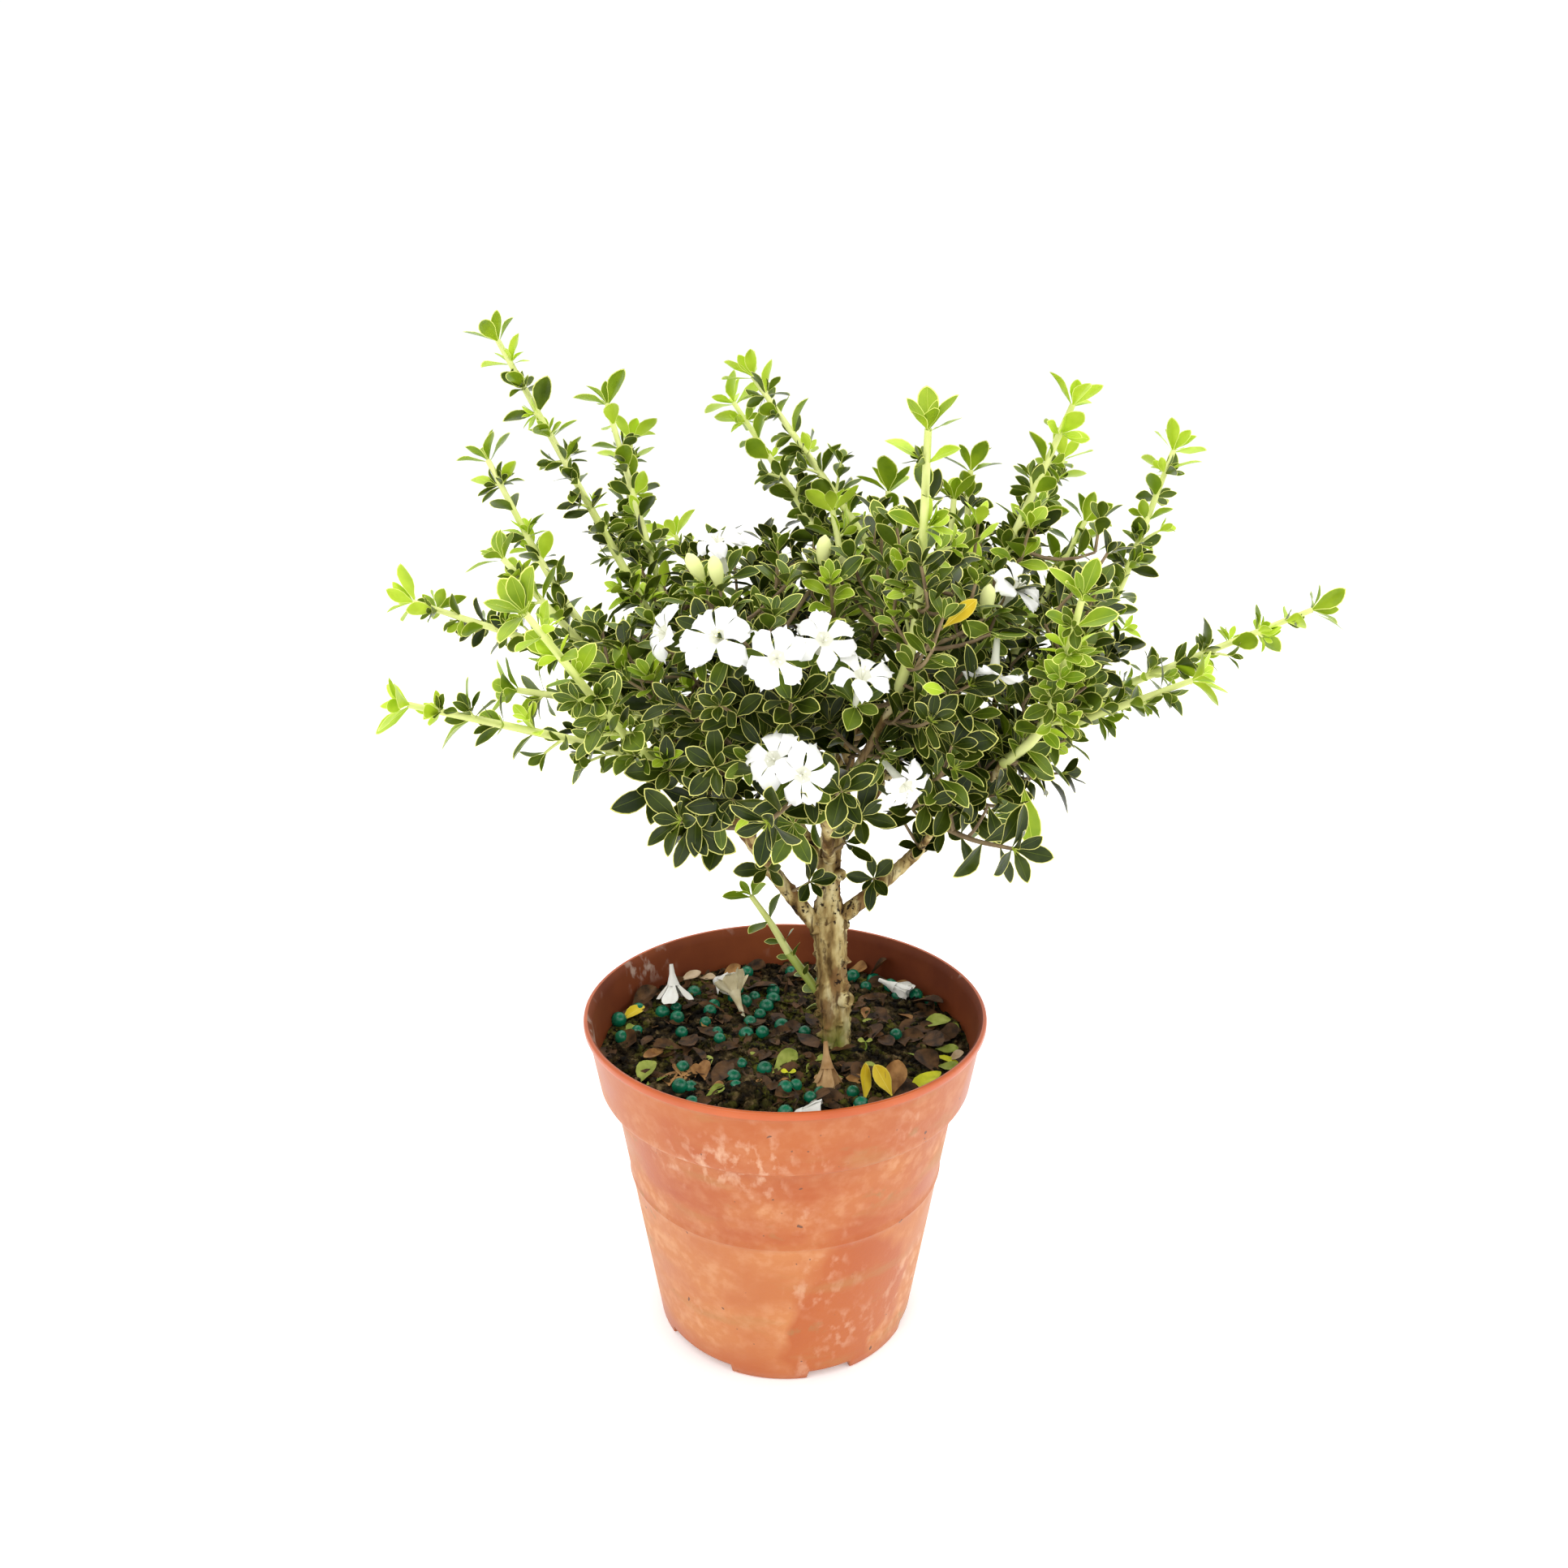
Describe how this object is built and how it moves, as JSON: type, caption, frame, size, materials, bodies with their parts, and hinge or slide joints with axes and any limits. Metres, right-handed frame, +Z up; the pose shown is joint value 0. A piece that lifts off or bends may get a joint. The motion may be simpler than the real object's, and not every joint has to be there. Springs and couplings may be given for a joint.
{
  "type": "potted mount fuji serissa",
  "caption": "Small variegated serissa grown as a tree, with a short trunk, forked boughs, an open leafy crown with long young shoots and white flowers, in a round plastic pot.",
  "frame": {"origin": "centre of the flat pad under the pot's base, on the surface the pot stands on", "axes": "+Z up along the pot's axis, -Y towards the viewer of the picture, +X to the viewer's right"},
  "size_m": [0.2875, 0.2008, 0.3067],
  "materials": {
    "pot": "terracotta-coloured thin moulded plastic with pale lime bloom",
    "soil": "dark moist potting soil with crumbs and litter",
    "bark": "light tan flaky bark with brown patches",
    "foliage": "glossy dark green leaves with thin cream margins"
  },
  "bodies": {
    "root": {"pot": "pot", "soil": "soil", "trunk": "bark", "bough_left": "bark", "bough_right": "bark", "bough_back_left": "bark", "bough_back_right": "bark", "bough_front": "bark", "branch_low_left": "bark", "branch_front_left": "bark", "branch_left": "bark", "branch_under_left": "bark", "branch_left_tall": "bark", "branch_back_low": "bark", "branch_top_left": "bark", "branch_top_back": "bark", "branch_right_tall": "bark", "branch_front_tall": "bark", "branch_front_upper": "bark", "branch_front_right": "bark", "branch_under_right": "bark", "branch_right_mid": "bark", "branch_back": "bark", "branch_back_right": "bark", "branch_far_right": "bark", "shoot_low": "bark", "mass_left_mid": "foliage", "mass_far_right": "foliage", "mass_left_back": "foliage", "mass_right_back": "foliage", "mass_front": "foliage", "mass_centre_top": "foliage", "mass_low_left": "foliage", "mass_front_left": "foliage", "mass_left": "foliage", "mass_under_left": "foliage", "mass_left_tall": "foliage", "mass_back_low": "foliage", "mass_top_left": "foliage", "mass_top_back": "foliage", "mass_right_tall": "foliage", "mass_front_tall": "foliage", "mass_front_upper": "foliage", "mass_front_right": "foliage", "mass_under_right": "foliage", "mass_right_mid": "foliage", "mass_back": "foliage", "mass_back_right": "foliage", "mass_far_right_back": "foliage", "mass_shoot_low": "foliage"}
  },
  "joints": []
}
